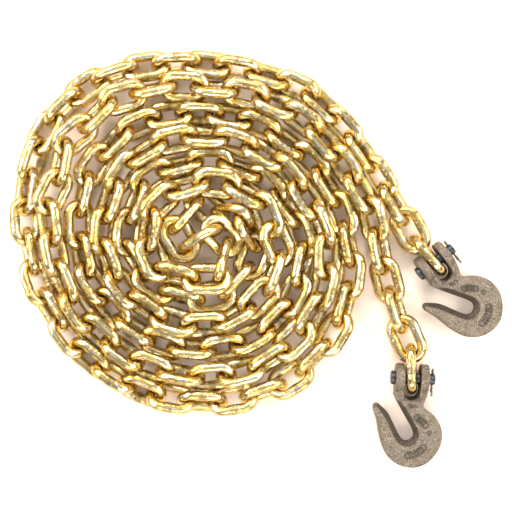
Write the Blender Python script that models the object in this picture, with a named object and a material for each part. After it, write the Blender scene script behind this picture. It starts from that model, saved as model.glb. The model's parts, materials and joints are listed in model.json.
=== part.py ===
"""Load binder chain: a 3/8 in (10 mm) transport chain with a clevis grab hook at each end.

The chain lies coiled on the floor from its middle outwards, with both strands wound side by side and
two free tails at the right. Strand A ends in hook A, strand B in hook B. Metres, +Z up, and the origin
is under the middle of the whole object. The tail links are single; the coil's links are joined in runs.
"""

import bpy
import bmesh
import numpy as np
from mathutils import Matrix, Vector

MM = 0.001

# ---- Chain link: a round wire bent to a stadium
WIRE = 10 * MM
PITCH = 31 * MM
HALF_WIDTH = 12 * MM
CROWN = (PITCH + WIRE) / 2
STRAIGHT = CROWN - HALF_WIDTH

# ---- Layout of the chain
LINKS = 148
TAIL_LINKS = 7
RUN_LINKS = 4
TAIL_GAP = 0.5 * MM
RUN_GAP = 0.1 * MM
RUN_END_GAP = 1.2 * MM
CENTRE = np.array([-53.2, 21.2]) * MM
LEAN = 50
HOOK_LEAN = (82, 14)
CORE_LEAN = (84, 8)
CORE_LINK = 80.5
CORE_SPREAD = 3.0
TWIST = 28
TWIST_RATE = 0.42
TWIST_DRIFT = 0.27
TWIST_WANDER = 1.4
TWIST_START = 8
TWIST_EASE = 5
REST_HEIGHT = 14.2 * MM
STRAND_B_LIFT = 9.2 * MM
CORE_LIFT = 5.0 * MM
BUNCH_LIFT = 8.0 * MM
BUNCH_SWAY = 3.0 * MM
BUNCH_INSET = 2.0 * MM
BUNCH_ANGLES = (165.0, 255.0)
BUNCH_EDGE = 25.0
EASE_STEPS = 220
CLEARANCE = 0.9 * MM

# Radius of the outermost turn (mm) against the angle in degrees, clockwise from +X
OUTER_TURN = [
    (0, 143), (25, 153), (55, 161), (90, 160), (120, 161), (150, 165), (180, 174.5), (200, 185),
    (220, 191), (240, 187), (256, 178), (272, 172), (300, 175), (330, 180), (345, 185), (360, 190.6),
]
INNER_GROWTH = 45.2 * MM
BULGE_FADE = 0.72
STRAND_A_ANGLES = (290.0, -850.0)
STRAND_B_ANGLES = (-670.0, 325.0)
ANGLE_STEP = 5.0

# Where each tail runs, from its clevis pin to the coil, and how the strands cross at the core (mm)
TAIL_A = [
    (174.3, -1.1), (155.8, 20.6), (142.0, 45.8), (124.4, 73.4),
    (109.3, 98.5), (90.5, 126.2), (70.4, 147.6), (47.8, 168.8),
]
TAIL_B = [
    (151.7, -115.7), (150.6, -88.5), (139.6, -59.6), (131.1, -33.0),
    (122.5, -2.5), (116.0, 28.1), (106.5, 61.5),
]
CORE = [(-33, 10), (-30, -4), (-17, -14), (0, 0), (17, 14), (30, 4), (33, -10)]

# ---- Clevis grab hook, in its own frame: pin along X, chain towards +Y, flat sides facing Z
PIN_HEIGHT = 17.4 * MM
HOOK_DROOP = 6.1
HOOK_A_YAW = 38
HOOK_B_YAW = -3
BODY_THICKNESS = 16 * MM
EAR_RADIUS = 14.5 * MM
CLEVIS_HALF = 16.5 * MM
SLOT_HALF = 7.75 * MM
SLOT_DEPTH = 20.3 * MM
PIN_RADIUS = 5.5 * MM
PIN_CLEARANCE = 0.35 * MM
HEAD_RADIUS = 6.9 * MM
HEAD_LENGTH = 4.5 * MM
PIN_STICKOUT = 6.5 * MM
COTTER_WIRE = 1.0 * MM
COTTER_HOLE = 2.4 * MM
COTTER_X = 20.2 * MM
LINK_PIN_GAP = 0.4 * MM

# Outside of the hook below the clevis (mm), from the left of the shank, round the tip and the bowl
HOOK_OUTSIDE = [
    (-16, 2), (-17, -16), (-20, -24), (-31.5, -26.3), (-36.4, -28.6), (-36.6, -33), (-32.8, -42),
    (-29.6, -56), (-24.4, -71.5), (-15, -82.6), (-4.5, -87.6), (4.3, -88.9), (14.9, -86.6),
    (24.5, -78.8), (30.7, -67.6), (33.2, -56), (32.2, -48), (28.6, -41), (21.5, -34.2),
    (13.4, -29), (12.2, -24), (14.4, -18), (15.8, -9), (16, 2),
]
# The throat at mid thickness (mm): down its right wall, round the bottom and up its left wall
THROAT = [
    (-18.5, -14.5), (-14.2, -22.5), (-8.9, -31.2), (-4.3, -38.5), (0.6, -46), (3.9, -52), (4.3, -57.5),
    (1, -61.4), (-3.6, -62.2), (-7.8, -59.2), (-12.4, -51.4), (-17, -42.8), (-22.2, -34.6), (-28, -28.8),
    (-36, -24.6),
]
THROAT_OPEN = [(-46, -21), (-46, -8), (-26, -8)]
THROAT_FLARE = 5.0 * MM
THROAT_LAND = 2.5 * MM


# ---------------------------------------------------------------- small helpers


def unit(v):
    return v / np.maximum(np.linalg.norm(v, axis=-1, keepdims=True), 1e-12)


def smooth(points, steps):
    """Catmull-Rom curve through the points, open at both ends."""
    p = np.asarray(points, float)
    p = np.vstack([2 * p[0] - p[1], p, 2 * p[-1] - p[-2]])
    t = np.linspace(0, 1, steps, endpoint=False)[:, None]
    spans = [
        0.5 * (2 * b + (c - a) * t + (2 * a - 5 * b + 4 * c - d) * t**2 + (3 * b - a - 3 * c + d) * t**3)
        for a, b, c, d in zip(p, p[1:], p[2:], p[3:])
    ]
    return np.vstack(spans + [p[-2:-1]])


def read_table(x, rows):
    """Smooth value at x from rows of (x, value)."""
    at, value = np.array(rows, float).T
    slope = np.gradient(value, at)
    i = np.clip(np.searchsorted(at, x, side="right") - 1, 0, len(at) - 2)
    span = at[i + 1] - at[i]
    t = (x - at[i]) / span
    start = (2 * t**3 - 3 * t**2 + 1) * value[i] + (t**3 - 2 * t**2 + t) * span * slope[i]
    end = (3 * t**2 - 2 * t**3) * value[i + 1] + (t**3 - t**2) * span * slope[i + 1]
    return start + end


def ramp(x):
    """0 to 1 with soft ends."""
    x = np.clip(x, 0, 1)
    return x * x * (3 - 2 * x)


# ---------------------------------------------------------------- the chain's route


def bunched(angle):
    """1 where the second turn lies bunched at the left, 0 elsewhere."""
    low, high = BUNCH_ANGLES
    return np.clip((angle - low) / BUNCH_EDGE, 0, 1) * np.clip((high - angle) / BUNCH_EDGE, 0, 1)


def strand_radius(strand_b, total, trim):
    """Radius of a strand at its total angle. The last turn has 0 to 360 degrees, inner turns less."""
    first, last = OUTER_TURN[0][1] * MM, OUTER_TURN[-1][1] * MM

    def even_spiral(angle):
        return first + np.where(angle > 0, last - first, INNER_GROWTH) * angle / 360

    turn = np.floor(total / 360)
    angle = total - 360 * turn
    depth = -2 * turn + strand_b
    bulge = read_table(angle, OUTER_TURN) * MM - (first + (last - first) * angle / 360)
    base = even_spiral(total)
    if strand_b:
        base = (base + even_spiral(total - 360)) / 2 - BUNCH_INSET * bunched(angle) * (turn == 0)
    squeeze = np.clip((base - 25 * MM) / (60 * MM), 0, 1)
    bulge = np.maximum(bulge, 0) * BULGE_FADE**depth + np.minimum(bulge, 0) * squeeze
    return base + bulge + trim * np.clip((depth - 1) / 2, 0, 1)


def strand(strand_b, limits, trim):
    """Points of one strand, with their angles."""
    step = ANGLE_STEP if limits[1] > limits[0] else -ANGLE_STEP
    angle = np.arange(limits[0], limits[1], step)
    radius = strand_radius(strand_b, angle, trim)
    t = np.radians(angle)
    return CENTRE + radius[:, None] * np.column_stack([np.cos(t), -np.sin(t)]), angle


def route(trim):
    """Dense route from pin A through the core to pin B, for links of even and of odd number."""
    a, _ = strand(0, STRAND_A_ANGLES, trim)
    b, angle_b = strand(1, STRAND_B_ANGLES, trim)
    core = np.array(CORE) * MM + CENTRE
    points = np.vstack([np.array(TAIL_A) * MM, a, core, b, np.array(TAIL_B[::-1]) * MM])
    before = len(TAIL_A) + len(a)
    after = before + len(core)
    i = np.arange(len(points))
    on_b = np.clip((i - before + 1) / (after - before + 1), 0, 1)
    in_core = np.sin(np.pi * np.clip((i - before + 3) / (after - before + 5), 0, 1))
    bunch = np.zeros(len(points))
    bunch[after : after + len(b)] = bunched(angle_b)
    fine = smooth(np.column_stack([points, on_b, in_core, bunch]), 8)
    run = np.concatenate([[0], np.cumsum(np.linalg.norm(np.diff(fine[:, :2], axis=0), axis=1))])
    s = np.append(np.arange(0, run[-1], 1.5 * MM), run[-1])
    x, y, on_b, in_core, bunch = (np.interp(s, run, fine[:, k]) for k in range(5))
    to_end = (s[-1] - s) / PITCH
    to_hook = np.minimum(s / PITCH, to_end)
    z = REST_HEIGHT + STRAND_B_LIFT * on_b * ramp((to_end - 0.5) / 5) + CORE_LIFT * in_core
    z += BUNCH_LIFT * bunch + (PIN_HEIGHT - REST_HEIGHT) * ramp(1 - (to_hook - 0.9) / 1.6)
    flat = np.column_stack([x, y])
    sway = unit(flat - CENTRE) * (BUNCH_SWAY * bunch)[:, None]
    return np.column_stack([flat + sway, z]), np.column_stack([flat - sway, z])


def walk(trim):
    """Steps along the route one link at a time. Returns the joints and what is left over at the end."""
    even, odd = route(trim)
    joints = [even[0]]
    at = 0
    for number in range(1, LINKS + 1):
        line = even if number % 2 == 0 else odd
        radius = max(np.linalg.norm(joints[-1][:2] - CENTRE), 24 * MM)
        slack = (WIRE + 0.4 * MM) / max(np.cos(PITCH / 2 / radius) ** 2, 0.7)
        length = 2 * CROWN - slack
        if number in (1, LINKS):
            length = CROWN + STRAIGHT + HALF_WIDTH - PIN_RADIUS - LINK_PIN_GAP - WIRE
        ahead = line[at + 1 : at + 40]
        far = np.linalg.norm(ahead - joints[-1], axis=1)
        reached = np.nonzero(far >= length)[0]
        if len(reached) == 0:
            return np.array(joints), -PITCH * (LINKS + 1 - number)
        k = reached[0]
        share = (length - far[k - 1]) / (far[k] - far[k - 1]) if k else 1.0
        joints.append(ahead[k - 1] + (ahead[k] - ahead[k - 1]) * share if k else ahead[0])
        at += k if k else 1
    return np.array(joints), np.linalg.norm(joints[-1] - even[-1])


def first_layout():
    """Joints along the route, its inner turns trimmed so that a whole number of links fits."""
    low, high = -9 * MM, 9 * MM
    for _ in range(18):
        middle = (low + high) / 2
        _, left = walk(middle)
        if left > 0:
            high = middle
        else:
            low = middle
    joints, _ = walk(high)
    return joints


def leans():
    """Roll of each link about its length. Neighbours lean opposite ways, and stand up near the hooks.

    Between the ends a slow twist along the chain lays one link flatter and stands the next one up.
    """
    number = np.arange(LINKS)
    from_hook = np.minimum(number, LINKS - 1 - number)
    steep = from_hook % 2 == 0
    near = np.clip(1 - from_hook / 6, 0, 1) ** 1.5
    core = np.exp(-(((number - CORE_LINK) / CORE_SPREAD) ** 2))
    lean = LEAN + near * (np.where(steep, *HOOK_LEAN) - LEAN)
    lean = lean + core * (np.where(steep, *CORE_LEAN) - lean)
    calm = np.exp(-(((number - CORE_LINK) / (2 * CORE_SPREAD)) ** 2))
    free = np.clip((from_hook - TWIST_START) / TWIST_EASE, 0, 1) * (1 - calm)
    twist = TWIST * np.sin(TWIST_RATE * number + TWIST_WANDER * np.sin(TWIST_DRIFT * number)) * free
    return np.radians(np.where(number % 2 == 0, lean, -lean) + twist)


# ---------------------------------------------------------------- links eased clear of each other


def axes(start, end, roll):
    """Each link's direction along its length, and across its width."""
    along = unit(end - start)
    level = unit(np.cross([0, 0, 1.0], along))
    up = np.cross(along, level)
    return along, level * np.cos(roll)[:, None] + up * np.sin(roll)[:, None]


def stadium(per_crown):
    """Centre line of a link in its own plane."""
    t = np.linspace(-np.pi / 2, np.pi / 2, per_crown)
    crown = np.column_stack([STRAIGHT + HALF_WIDTH * np.cos(t), HALF_WIDTH * np.sin(t)])
    return np.vstack([crown, -crown])


def nearest(first, second):
    """Nearest points of closed lines, pair by pair: distance, offset and the two points."""
    a = first[:, :, None, :]
    b = second[:, None, :, :]
    da = np.roll(first, -1, 1)[:, :, None, :] - a
    db = np.roll(second, -1, 1)[:, None, :, :] - b
    r = a - b
    aa, bb, ab = (da * da).sum(-1), (db * db).sum(-1), (da * db).sum(-1)
    ra, rb = (da * r).sum(-1), (db * r).sum(-1)
    area = aa * bb - ab * ab
    flat = area < 1e-6 * aa * bb
    s = np.clip(np.where(flat, 0.5, (ab * rb - ra * bb) / np.where(flat, 1, area)), 0, 1)
    t = np.clip((ab * s + rb) / bb, 0, 1)
    s = np.clip((ab * t - ra) / aa, 0, 1)
    p = a + s[..., None] * da
    q = b + t[..., None] * db
    offset = p - q
    distance = np.sqrt((offset * offset).sum(-1)).reshape(len(first), -1)
    pick = distance.argmin(1)
    row = np.arange(len(first))
    p, q, offset = (v.reshape(len(first), -1, 3)[row, pick] for v in (p, q, offset))
    return distance[row, pick], offset, p, q


def joint_gaps():
    """Gap between the crowns at each joint of the chain."""
    joint = np.arange(1, LINKS)
    inside = (joint >= TAIL_LINKS) & (joint <= LINKS - TAIL_LINKS)
    between = (joint - TAIL_LINKS) % RUN_LINKS == 0
    return np.where(inside, np.where(between, RUN_END_GAP, RUN_GAP), TAIL_GAP)


def ease(start, end, roll, steps):
    """Moves and rolls the links by small steps until crowns meet at their gaps and the rest is clear."""
    gaps = joint_gaps()
    held = np.ones(LINKS)
    held[[0, -1]] = 0
    outline = stadium(6)
    for step in range(steps):
        along, across = axes(start, end, roll)
        middle = (start + end) / 2
        if step % 10 == 0:
            i, j = np.triu_indices(LINKS, 1)
            close = np.linalg.norm(middle[i] - middle[j], axis=1) < 57 * MM
            i, j = i[close], j[close]
            need = np.where(j - i == 1, WIRE - 0.1 * MM + gaps[np.minimum(i, LINKS - 2)], WIRE + CLEARANCE)
        lines = middle[:, None] + outline[None, :, :1] * along[:, None]
        lines = lines + outline[None, :, 1:] * across[:, None]
        distance, offset, p, q = nearest(lines[i], lines[j])
        hit = distance < need
        push = unit(offset[hit]) * ((need - distance)[hit] / 2)[:, None]
        move_start, move_end, turn = np.zeros_like(start), np.zeros_like(end), np.zeros(LINKS)
        for link, point, shove in ((i[hit], p[hit], push), (j[hit], q[hit], -push)):
            share = ((point - start[link]) * along[link]).sum(1) / (2 * CROWN)
            share = np.clip(share, 0, 1)[:, None]
            np.add.at(move_start, link, shove * (1 - share))
            np.add.at(move_end, link, shove * share)
            arm = point - middle[link]
            arm -= (arm * along[link]).sum(1)[:, None] * along[link]
            twist = (np.cross(arm, shove) * along[link]).sum(1)
            np.add.at(turn, link, twist / ((arm * arm).sum(1) + 60 * MM * MM))
        fold = end[1:] - start[:-1]
        open_up = np.maximum(50 * MM - np.linalg.norm(fold, axis=1), 0)[:, None] * unit(fold) * 0.15
        move_end[1:] += open_up
        move_start[:-1] -= open_up
        for move in (move_start, move_end):
            size = np.linalg.norm(move, axis=1)
            move *= (held * np.minimum(1, 1.5 * MM / np.maximum(size, 1e-12)))[:, None]
        start, end = start + move_start, end + move_end
        roll = roll + np.clip(turn * 0.8, -0.05, 0.05) * held
        for _ in range(6):
            start, end = close_joints(start, end, roll, gaps, held)
        along, across = axes(start, end, roll)
        reach = STRAIGHT * np.abs(along[:, 2]) + HALF_WIDTH * np.hypot(along[:, 2], across[:, 2]) + WIRE / 2
        sunk = np.maximum(reach - (start[:, 2] + end[:, 2]) / 2, 0) * held
        start[:, 2] += sunk
        end[:, 2] += sunk
    return start, end, roll


def close_joints(start, end, roll, gaps, held):
    """Brings neighbouring crowns together across their common normal, and keeps each link's length."""
    along, across = axes(start, end, roll)
    normal = unit(np.cross(across[:-1], across[1:]))
    normal *= np.sign((normal * (along[:-1] + along[1:])).sum(1))[:, None]
    error = end[:-1] - start[1:] - (WIRE + gaps)[:, None] * normal
    total = held[:-1] + held[1:]
    end[:-1] -= error * (held[:-1] / total)[:, None]
    start[1:] += error * (held[1:] / total)[:, None]
    span = end - start
    length = np.linalg.norm(span, axis=1)
    fix = ((length - 2 * CROWN) / length / 2 * held)[:, None] * span
    return start + fix, end - fix


def chain_layout():
    """Crown centres of each link and its roll, in order from hook A to hook B."""
    joints = first_layout()
    along = unit(np.diff(joints, axis=0))
    middle = (joints[:-1] + joints[1:]) / 2
    reach = CROWN - PIN_RADIUS - LINK_PIN_GAP - WIRE / 2
    middle[0] = joints[0] + along[0] * reach
    middle[-1] = joints[-1] - along[-1] * reach
    return ease(middle - along * CROWN, middle + along * CROWN, leans(), EASE_STEPS)


# ---------------------------------------------------------------- link solids


def link_line(joined_start, joined_end, coarse):
    """Corners of a link's centre line. A joined crown is cut short, so that it sinks into its neighbour."""
    if not coarse:
        angles = np.radians([-90, -54, -18, 18, 54, 90])
        crown = np.column_stack([STRAIGHT + HALF_WIDTH * np.cos(angles), HALF_WIDTH * np.sin(angles)])
        return np.vstack([crown, -crown])
    rows = []
    for joined, sign in ((joined_end, 1), (joined_start, -1)):
        angles = np.radians([-90, -30, 30, 90]) if joined else np.radians([-67.5, -22.5, 22.5, 67.5])
        radius = HALF_WIDTH if joined else 1.03 * HALF_WIDTH
        rows.append(sign * np.column_stack([STRAIGHT + radius * np.cos(angles), radius * np.sin(angles)]))
    return np.vstack(rows)


def ring_tube(bm, centre, along, across, line, sides, radius):
    """Closed tube round a flat line: a ring of points at each corner, on its mitre."""
    normal = np.cross(along, across)
    ahead = unit(np.roll(line, -1, 0) - line)
    behind = np.roll(ahead, 1, 0)
    out = unit(np.column_stack([ahead[:, 1] + behind[:, 1], -ahead[:, 0] - behind[:, 0]]))
    widen = 1 / np.sqrt((1 + (ahead * behind).sum(1)) / 2)
    turn = np.radians((np.arange(sides) + 0.5) * 360 / sides)
    rings = []
    for point, direction, wide in zip(line, out, widen):
        flat = direction[0] * along + direction[1] * across
        middle = centre + point[0] * along + point[1] * across
        ring = [middle + radius * (wide * np.cos(t) * flat + np.sin(t) * normal) for t in turn]
        rings.append([bm.verts.new(v) for v in ring])
    for ring, after in zip(rings, rings[1:] + rings[:1]):
        for k in range(sides):
            bm.faces.new((ring[k], ring[k - 1], after[k - 1], after[k]))


def mesh_object(name, bm, collection, material):
    bmesh.ops.recalc_face_normals(bm, faces=bm.faces)
    mesh = bpy.data.meshes.new(name)
    bm.to_mesh(mesh)
    bm.free()
    mesh.materials.append(material)
    thing = bpy.data.objects.new(name, mesh)
    collection.objects.link(thing)
    return thing


def link_object(name, frame, joined, coarse, collection, material):
    """One link. Its object's origin is its centre."""
    start, end, along, across = frame
    sides, radius = (5, 0.95 * WIRE / 2) if coarse else (6, 0.93 * WIRE / 2)
    bm = bmesh.new()
    ring_tube(bm, np.zeros(3), along, across, link_line(*joined, coarse), sides, radius)
    thing = mesh_object(name, bm, collection, material)
    thing.location = (start + end) / 2
    return thing


def outer_shell(mesh):
    """Keeps the largest connected piece, so that pockets sealed inside a union are filled."""
    bm = bmesh.new()
    bm.from_mesh(mesh)
    left = set(bm.verts)
    pieces = []
    while left:
        piece = [left.pop()]
        for vert in piece:
            ahead = [edge.other_vert(vert) for edge in vert.link_edges]
            fresh = [other for other in ahead if other in left]
            left.difference_update(fresh)
            piece.extend(fresh)
        pieces.append(piece)
    pieces.sort(key=len)
    inner = [vert for piece in pieces[:-1] for vert in piece]
    bmesh.ops.delete(bm, geom=inner, context="VERTS")
    bm.to_mesh(mesh)
    bm.free()


def join(thing, others, operation="UNION"):
    """Boolean of one object with others, which are then removed."""
    for other in others:
        cut = thing.modifiers.new(operation.title(), "BOOLEAN")
        cut.operation = operation
        cut.solver = "EXACT"
        cut.object = other
    bpy.context.view_layer.update()
    graph = bpy.context.evaluated_depsgraph_get()
    mesh = bpy.data.meshes.new_from_object(thing.evaluated_get(graph), depsgraph=graph)
    outer_shell(mesh)
    thing.modifiers.clear()
    thing.data = mesh
    for other in others:
        bpy.data.objects.remove(other)


def make_chain(collection, material):
    """The tail links one by one, and the coil's links in runs. Returns the two end links' frames."""
    start, end, roll = chain_layout()
    along, across = axes(start, end, roll)
    frames = list(zip(start, end, along, across))
    for number in range(TAIL_LINKS):
        link_object(f"link_a_{number + 1:02d}", frames[number], (False, False), False, collection, material)
        other = LINKS - 1 - number
        link_object(f"link_b_{number + 1:02d}", frames[other], (False, False), False, collection, material)
    runs = range(TAIL_LINKS, LINKS - TAIL_LINKS, RUN_LINKS)
    for count, first in enumerate(runs):
        members = range(first, min(first + RUN_LINKS, LINKS - TAIL_LINKS))
        name = f"coil_run_{count + 1:02d}"
        links = []
        for k in members:
            joined = (k > members[0], k < members[-1])
            links.append(link_object(name, frames[k], joined, True, collection, material))
        join(links[0], links[1:])
    return frames[0], frames[-1]


# ---------------------------------------------------------------- hook, pin and cotter solids


def outline_solid(name, points, half, bevel, collection, material):
    """A flat outline with thickness and rounded edges, as a mesh."""
    curve = bpy.data.curves.new(name, "CURVE")
    curve.dimensions = "2D"
    curve.fill_mode = "BOTH"
    curve.extrude = half - bevel
    curve.bevel_depth = bevel
    curve.bevel_resolution = 0
    curve.offset = -bevel
    spline = curve.splines.new("POLY")
    spline.points.add(len(points) - 1)
    for slot, (x, y) in zip(spline.points, points):
        slot.co = (x, y, 0, 1)
    spline.use_cyclic_u = True
    thing = bpy.data.objects.new(name, curve)
    collection.objects.link(thing)
    graph = bpy.context.evaluated_depsgraph_get()
    mesh = bpy.data.meshes.new_from_object(thing.evaluated_get(graph), depsgraph=graph)
    bm = bmesh.new()
    bm.from_mesh(mesh)
    bmesh.ops.remove_doubles(bm, verts=bm.verts, dist=1e-6)
    bpy.data.objects.remove(thing)
    return mesh_object(name, bm, collection, material)


def turned(name, profile, sides, collection, material):
    """A solid turned about X from (x, radius) corners."""
    bm = bmesh.new()
    verts = [bm.verts.new((x, r, 0)) for x, r in profile]
    edges = [bm.edges.new(pair) for pair in zip(verts, verts[1:])]
    bmesh.ops.spin(
        bm, geom=verts + edges, cent=(0, 0, 0), axis=(1, 0, 0), angle=np.radians(360), steps=sides,
        use_merge=True,
    )
    bmesh.ops.remove_doubles(bm, verts=bm.verts, dist=1e-6)
    return mesh_object(name, bm, collection, material)


def throat_cutter(collection, material):
    """The throat: narrow at mid thickness and flared towards both faces."""
    wall = np.array(THROAT) * MM
    ahead = unit(np.gradient(wall, axis=0))
    out = np.column_stack([-ahead[:, 1], ahead[:, 0]])
    run = np.linspace(0, 1, len(wall))
    flare = ramp(run / 0.12) * ramp((1 - run) / 0.12)
    top = BODY_THICKNESS / 2 + 3 * MM
    land = THROAT_LAND / 2
    ease_off = land + 1.5 * MM
    levels = [(-top, 1.35), (-ease_off, 0.25), (-land, 0), (land, 0), (ease_off, 0.25), (top, 1.35)]
    bm = bmesh.new()
    rings = []
    for z, share in levels:
        moved = wall + out * (flare * share * THROAT_FLARE)[:, None]
        corners = np.vstack([moved, np.array(THROAT_OPEN) * MM])
        rings.append([bm.verts.new((x, y, z)) for x, y in corners])
    for ring, above in zip(rings, rings[1:]):
        for k in range(len(ring)):
            bm.faces.new((ring[k - 1], ring[k], above[k], above[k - 1]))
    bm.faces.new(rings[0])
    bm.faces.new(rings[-1])
    return mesh_object("throat_cutter", bm, collection, material)


def slot_cutter(collection, material):
    """The clevis slot: parallel walls and a round bottom."""
    t = np.radians(np.linspace(180, 360, 7))
    bottom = SLOT_HALF - SLOT_DEPTH
    points = [(SLOT_HALF * np.cos(a), bottom + SLOT_HALF * np.sin(a)) for a in t]
    points += [(SLOT_HALF, 30 * MM), (-SLOT_HALF, 30 * MM)]
    return outline_solid("slot_cutter", points, 25 * MM, 0, collection, material)


def make_hook(name, parts, cutters, material):
    """The forging: a flat body, a round clevis, and the cuts for slot, throat and pin."""
    outside = np.array(HOOK_OUTSIDE) * MM
    hook = outline_solid(name, outside, BODY_THICKNESS / 2, 2.6 * MM, parts, material)
    rim = 2 * MM
    clevis = turned(
        "clevis", [(-CLEVIS_HALF, 0), (-CLEVIS_HALF, EAR_RADIUS - rim), (-CLEVIS_HALF + rim, EAR_RADIUS),
                   (CLEVIS_HALF - rim, EAR_RADIUS), (CLEVIS_HALF, EAR_RADIUS - rim), (CLEVIS_HALF, 0)],
        18, parts, material,
    )
    neck = turned(
        "neck", [(-13 * MM, 0), (-13 * MM, 10.2 * MM), (11 * MM, 10.2 * MM), (11 * MM, 0)], 12, parts, material
    )
    neck.location = (-1 * MM, -15 * MM, 0)
    bore = turned(
        "bore", [(-30 * MM, 0), (-30 * MM, PIN_RADIUS + PIN_CLEARANCE), (30 * MM, PIN_RADIUS + PIN_CLEARANCE),
                 (30 * MM, 0)], 12, cutters, material,
    )
    join(hook, [clevis, neck])
    join(hook, [slot_cutter(cutters, material), throat_cutter(cutters, material), bore], "DIFFERENCE")
    return hook


def make_pin(name, parts, cutters, material):
    """Clevis pin: round head at -X, chamfered end at +X, and the cotter's hole across it along Y."""
    left = -CLEVIS_HALF - PIN_CLEARANCE
    right = CLEVIS_HALF + PIN_STICKOUT
    edge = 1 * MM
    profile = [
        (left - HEAD_LENGTH, 0), (left - HEAD_LENGTH, HEAD_RADIUS - edge), (left - HEAD_LENGTH + edge, HEAD_RADIUS),
        (left, HEAD_RADIUS), (left, PIN_RADIUS), (right - edge, PIN_RADIUS), (right, PIN_RADIUS - edge), (right, 0),
    ]
    pin = turned(name, profile, 12, parts, material)
    hole = turned("hole", [(-12 * MM, 0), (-12 * MM, COTTER_HOLE), (12 * MM, COTTER_HOLE), (12 * MM, 0)], 8,
                  cutters, material)
    hole.rotation_euler = (0, 0, np.radians(90))
    hole.location = (COTTER_X, 0, 0)
    join(pin, [hole], "DIFFERENCE")
    return pin


def make_cotter(name, parts, material):
    """Split pin through the clevis pin: an eye at +Y and two spread legs at -Y."""
    apart = COTTER_WIRE + 0.15 * MM
    eye = [(2.6 * MM * np.sin(t), (10.2 - 2.6 * np.cos(t)) * MM) for t in np.radians(np.arange(40, 321, 35))]
    legs = [(5.5, 1.0), (-5.5, 1.0), (-9, 1.6), (-14.5, 3.0)]
    one = [(apart * wide, y * MM) for y, wide in legs]
    other = [(-x * 0.9, y * 0.75) if y < -6 * MM else (-x, y) for x, y in one]
    line = np.array(one[::-1] + eye + other)
    curve = bpy.data.curves.new(name, "CURVE")
    curve.dimensions = "3D"
    curve.bevel_depth = COTTER_WIRE
    curve.bevel_resolution = 0
    curve.use_fill_caps = True
    spline = curve.splines.new("POLY")
    spline.points.add(len(line) - 1)
    for slot, (z, y) in zip(spline.points, line):
        slot.co = (COTTER_X, y, z, 1)
    thing = bpy.data.objects.new(name, curve)
    parts.objects.link(thing)
    graph = bpy.context.evaluated_depsgraph_get()
    mesh = bpy.data.meshes.new_from_object(thing.evaluated_get(graph), depsgraph=graph)
    bm = bmesh.new()
    bm.from_mesh(mesh)
    bmesh.ops.remove_doubles(bm, verts=bm.verts, dist=1e-6)
    bpy.data.objects.remove(thing)
    return mesh_object(name, bm, parts, material)


def make_end(letter, pin_point, yaw, parts, cutters, materials):
    """Hook, pin and cotter of one end, hung on an empty whose X axis is the pin's."""
    forged, steel, bright = materials
    mount = bpy.data.objects.new(f"pin_axis_{letter}", None)
    parts.objects.link(mount)
    mount.location = pin_point
    mount.rotation_euler = (np.radians(HOOK_DROOP), 0, np.radians(yaw))
    for thing in (
        make_hook(f"hook_{letter}", parts, cutters, forged),
        make_pin(f"clevis_pin_{letter}", parts, cutters, steel),
        make_cotter(f"cotter_pin_{letter}", parts, bright),
    ):
        thing.parent = mount


def settle(parts):
    """Moves the whole object so that its box stands on the floor with its middle at the origin."""
    bpy.context.view_layer.update()
    solids = [thing for thing in parts.objects if thing.type == "MESH"]
    corners = np.array([thing.matrix_world @ vert.co for thing in solids for vert in thing.data.vertices])
    low, high = corners.min(0), corners.max(0)
    shift = Vector((-(low[0] + high[0]) / 2, -(low[1] + high[1]) / 2, -low[2]))
    for thing in parts.objects:
        if thing.parent is None:
            thing.location += shift


# ---------------------------------------------------------------- the whole object


def new_material(name, colour, roughness, metallic):
    material = bpy.data.materials.new(name)
    material.use_nodes = True
    shader = material.node_tree.nodes["Principled BSDF"]
    shader.inputs["Base Color"].default_value = (*colour, 1)
    shader.inputs["Roughness"].default_value = roughness
    shader.inputs["Metallic"].default_value = metallic
    return material


def new_collection(name):
    collection = bpy.data.collections.new(name)
    bpy.context.scene.collection.children.link(collection)
    return collection


def main():
    for thing in list(bpy.data.objects):
        bpy.data.objects.remove(thing)
    parts = new_collection("load_binder_chain")
    cutters = new_collection("cutters")
    gold = new_material("yellow_zinc", (0.83, 0.62, 0.27), 0.28, 1.0)
    forged = new_material("forged_steel", (0.27, 0.24, 0.21), 0.6, 0.7)
    steel = new_material("pin_steel", (0.2, 0.19, 0.18), 0.45, 0.9)
    bright = new_material("cotter_steel", (0.42, 0.41, 0.4), 0.35, 1.0)
    first, last = make_chain(parts, gold)
    reach = PIN_RADIUS + LINK_PIN_GAP + WIRE / 2
    make_end("a", Vector(first[0] + first[2] * reach), HOOK_A_YAW, parts, cutters, (forged, steel, bright))
    make_end("b", Vector(last[1] - last[2] * reach), HOOK_B_YAW, parts, cutters, (forged, steel, bright))
    settle(parts)


main()
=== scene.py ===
"""Looks of the load binder chain: round welded links in yellow zinc, forged hooks, pins and cotters.

The chain's layout is worked out as in the CAD model, so that each link lies where its solid does. The
hooks hang on their pins, whose places come from the frame's joints. Metres, +Z up.
"""

import json

import bpy
import bmesh
import numpy as np
from mathutils import Matrix, Vector


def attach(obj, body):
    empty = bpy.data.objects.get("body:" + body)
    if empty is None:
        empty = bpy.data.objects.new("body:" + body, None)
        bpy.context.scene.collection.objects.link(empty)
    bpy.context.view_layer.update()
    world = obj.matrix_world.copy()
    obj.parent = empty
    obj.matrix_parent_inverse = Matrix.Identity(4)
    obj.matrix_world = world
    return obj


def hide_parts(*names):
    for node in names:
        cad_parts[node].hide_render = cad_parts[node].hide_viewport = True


MM = 0.001

# ---- Chain link: a round wire bent to a stadium
WIRE = 10 * MM
PITCH = 31 * MM
HALF_WIDTH = 12 * MM
CROWN = (PITCH + WIRE) / 2
STRAIGHT = CROWN - HALF_WIDTH

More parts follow.
